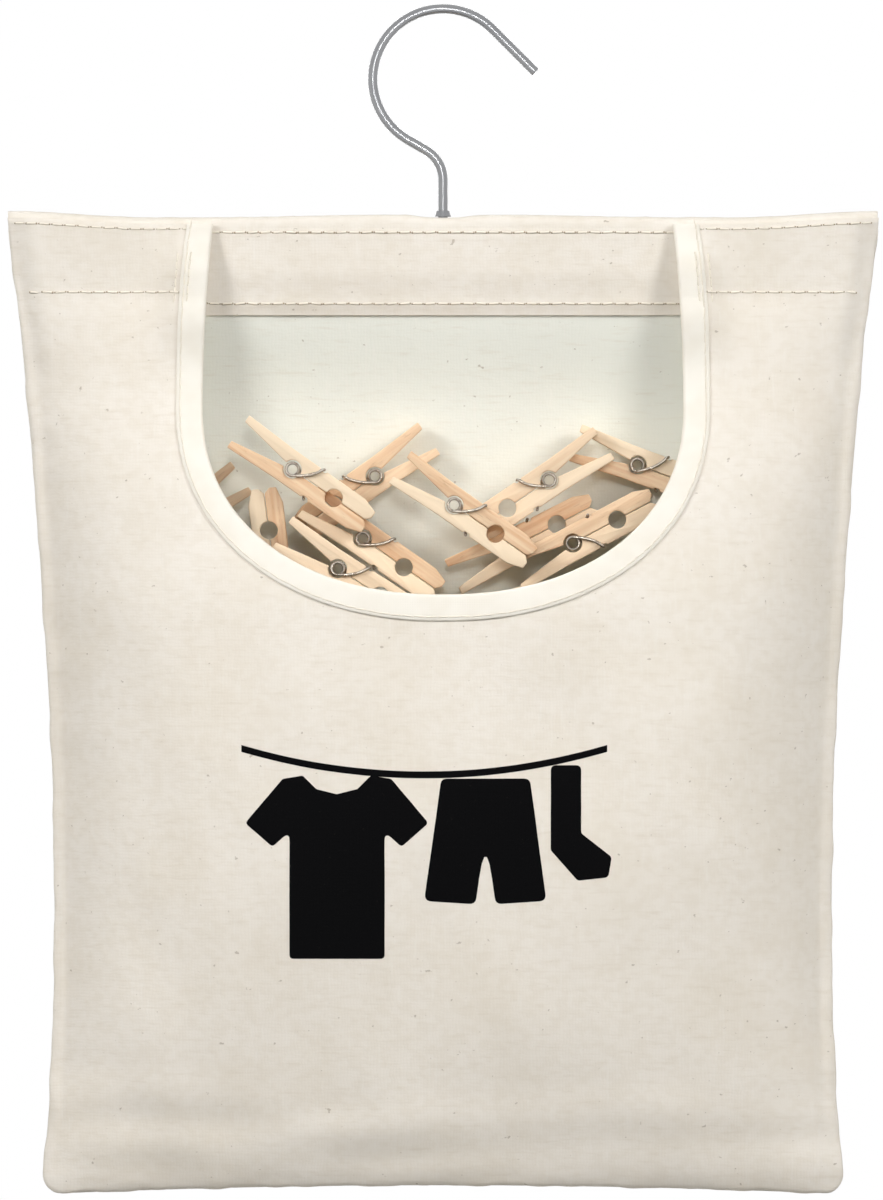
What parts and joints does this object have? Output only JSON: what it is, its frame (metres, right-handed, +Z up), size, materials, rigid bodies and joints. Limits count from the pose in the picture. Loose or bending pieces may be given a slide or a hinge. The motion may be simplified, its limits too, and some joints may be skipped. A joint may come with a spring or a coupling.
{
  "type": "peg bag",
  "caption": "Canvas peg bag hung by a swivelling wire hook, with a bound scoop mouth, a wooden slat in its top hem and wooden spring pegs lying in its pouch.",
  "frame": {"origin": "the inside top of the hook's crown, where the bag hangs on a line", "axes": "+Z up along the hook's shank, the mouth faces -Y, +X to the right seen from the front"},
  "size_m": [0.3312, 0.0455, 0.4503],
  "materials": {
    "canvas": "plain woven, matt",
    "tape": "smooth tape, matt",
    "slat_wood": "planed, bare",
    "peg_wood": "sawn, bare",
    "zinc_wire": "zinc plated",
    "spring_steel": "bright wire"
  },
  "bodies": {
    "hook": {"hook": "zinc_wire", "hook_collar": "zinc_wire"},
    "bag": {"back_panel": "canvas", "front_panel": "canvas", "mouth_binding": "tape", "hanger_slat": "slat_wood", "hook_washer": "zinc_wire", "peg_02_fixed_leg": "peg_wood", "peg_02_spring": "spring_steel", "peg_03_fixed_leg": "peg_wood", "peg_03_spring": "spring_steel", "peg_04_fixed_leg": "peg_wood", "peg_04_spring": "spring_steel", "peg_05_fixed_leg": "peg_wood", "peg_05_spring": "spring_steel", "peg_06_fixed_leg": "peg_wood", "peg_06_spring": "spring_steel", "peg_09_fixed_leg": "peg_wood", "peg_09_spring": "spring_steel", "peg_10_fixed_leg": "peg_wood", "peg_10_spring": "spring_steel", "peg_11_fixed_leg": "peg_wood", "peg_11_spring": "spring_steel", "peg_12_fixed_leg": "peg_wood", "peg_12_spring": "spring_steel"},
    "peg_01": {"peg_01_fixed_leg": "peg_wood", "peg_01_spring": "spring_steel"},
    "peg_01_leg": {"peg_01_moving_leg": "peg_wood"},
    "peg_02_leg": {"peg_02_moving_leg": "peg_wood"},
    "peg_03_leg": {"peg_03_moving_leg": "peg_wood"},
    "peg_04_leg": {"peg_04_moving_leg": "peg_wood"},
    "peg_05_leg": {"peg_05_moving_leg": "peg_wood"},
    "peg_06_leg": {"peg_06_moving_leg": "peg_wood"},
    "peg_07": {"peg_07_fixed_leg": "peg_wood", "peg_07_spring": "spring_steel"},
    "peg_07_leg": {"peg_07_moving_leg": "peg_wood"},
    "peg_08": {"peg_08_fixed_leg": "peg_wood", "peg_08_spring": "spring_steel"},
    "peg_08_leg": {"peg_08_moving_leg": "peg_wood"},
    "peg_09_leg": {"peg_09_moving_leg": "peg_wood"},
    "peg_10_leg": {"peg_10_moving_leg": "peg_wood"},
    "peg_11_leg": {"peg_11_moving_leg": "peg_wood"},
    "peg_12_leg": {"peg_12_moving_leg": "peg_wood"}
  },
  "joints": [
    {"name": "hook_swivel", "type": "hinge", "parent": "hook", "child": "bag", "pos_m": [0, 0, -0.0772], "axis": [0, 0, 1], "continuous": true},
    {"name": "peg_01_lift", "type": "slide", "parent": "bag", "child": "peg_01", "axis": [0, 0, 1], "range_m": [0, 0.09]},
    {"name": "peg_01_squeeze", "type": "hinge", "parent": "peg_01", "child": "peg_01_leg", "pos_m": [-0.05687, -0.02047, -0.17274], "axis": [0, -1, 0], "range_deg": [0, 14], "stiffness_Nm_per_rad": 0.04, "springref_deg": -11.46, "deforming": ["peg_01_spring"]},
    {"name": "peg_02_squeeze", "type": "hinge", "parent": "bag", "child": "peg_02_leg", "pos_m": [-0.02573, -0.00157, -0.17524], "axis": [0, 1, 0], "range_deg": [0, 14], "stiffness_Nm_per_rad": 0.04, "springref_deg": -11.46, "deforming": ["peg_02_spring"]},
    {"name": "peg_03_squeeze", "type": "hinge", "parent": "bag", "child": "peg_03_leg", "pos_m": [-0.03037, -0.01057, -0.19884], "axis": [0, -1, 0], "range_deg": [0, 14], "stiffness_Nm_per_rad": 0.04, "springref_deg": -11.46, "deforming": ["peg_03_spring"]},
    {"name": "peg_04_squeeze", "type": "hinge", "parent": "bag", "child": "peg_04_leg", "pos_m": [-0.03975, -0.02237, -0.21025], "axis": [0, 1, 0], "range_deg": [0, 14], "stiffness_Nm_per_rad": 0.04, "springref_deg": -11.46, "deforming": ["peg_04_spring"]},
    {"name": "peg_05_squeeze", "type": "hinge", "parent": "bag", "child": "peg_05_leg", "pos_m": [-0.06353, -0.01177, -0.21466], "axis": [0, -1, 0], "range_deg": [0, 14], "stiffness_Nm_per_rad": 0.04, "springref_deg": -11.46, "deforming": ["peg_05_spring"]},
    {"name": "peg_06_squeeze", "type": "hinge", "parent": "bag", "child": "peg_06_leg", "pos_m": [-0.09663, -0.00287, -0.19004], "axis": [0, -1, 0], "range_deg": [0, 14], "stiffness_Nm_per_rad": 0.04, "springref_deg": -11.46, "deforming": ["peg_06_spring"]},
    {"name": "peg_07_lift", "type": "slide", "parent": "bag", "child": "peg_07", "axis": [0, 0, 1], "range_m": [0, 0.09]},
    {"name": "peg_07_squeeze", "type": "hinge", "parent": "peg_07", "child": "peg_07_leg", "pos_m": [0.00423, -0.02227, -0.18624], "axis": [0, -1, 0], "range_deg": [0, 14], "stiffness_Nm_per_rad": 0.04, "springref_deg": -11.46, "deforming": ["peg_07_spring"]},
    {"name": "peg_08_lift", "type": "slide", "parent": "bag", "child": "peg_08", "axis": [0, 0, 1], "range_m": [0, 0.09]},
    {"name": "peg_08_squeeze", "type": "hinge", "parent": "peg_08", "child": "peg_08_leg", "pos_m": [0.04012, -0.01157, -0.17675], "axis": [0, 1, 0], "range_deg": [0, 14], "stiffness_Nm_per_rad": 0.04, "springref_deg": -11.46, "deforming": ["peg_08_spring"]},
    {"name": "peg_09_squeeze", "type": "hinge", "parent": "bag", "child": "peg_09_leg", "pos_m": [0.07361, -0.00257, -0.17105], "axis": [0, -1, 0], "range_deg": [0, 14], "stiffness_Nm_per_rad": 0.04, "springref_deg": -11.46, "deforming": ["peg_09_spring"]},
    {"name": "peg_10_squeeze", "type": "hinge", "parent": "bag", "child": "peg_10_leg", "pos_m": [0.0491, -0.01177, -0.20065], "axis": [0, 1, 0], "range_deg": [0, 14], "stiffness_Nm_per_rad": 0.04, "springref_deg": -11.46, "deforming": ["peg_10_spring"]},
    {"name": "peg_11_squeeze", "type": "hinge", "parent": "bag", "child": "peg_11_leg", "pos_m": [0.02611, -0.00107, -0.20211], "axis": [0, -1, 0], "range_deg": [0, 14], "stiffness_Nm_per_rad": 0.04, "springref_deg": -11.46, "deforming": ["peg_11_spring"]},
    {"name": "peg_12_squeeze", "type": "hinge", "parent": "bag", "child": "peg_12_leg", "pos_m": [0.00703, -0.00027, -0.23055], "axis": [0, 1, 0], "range_deg": [0, 14], "stiffness_Nm_per_rad": 0.04, "springref_deg": -11.46, "deforming": ["peg_12_spring"]}
  ]
}
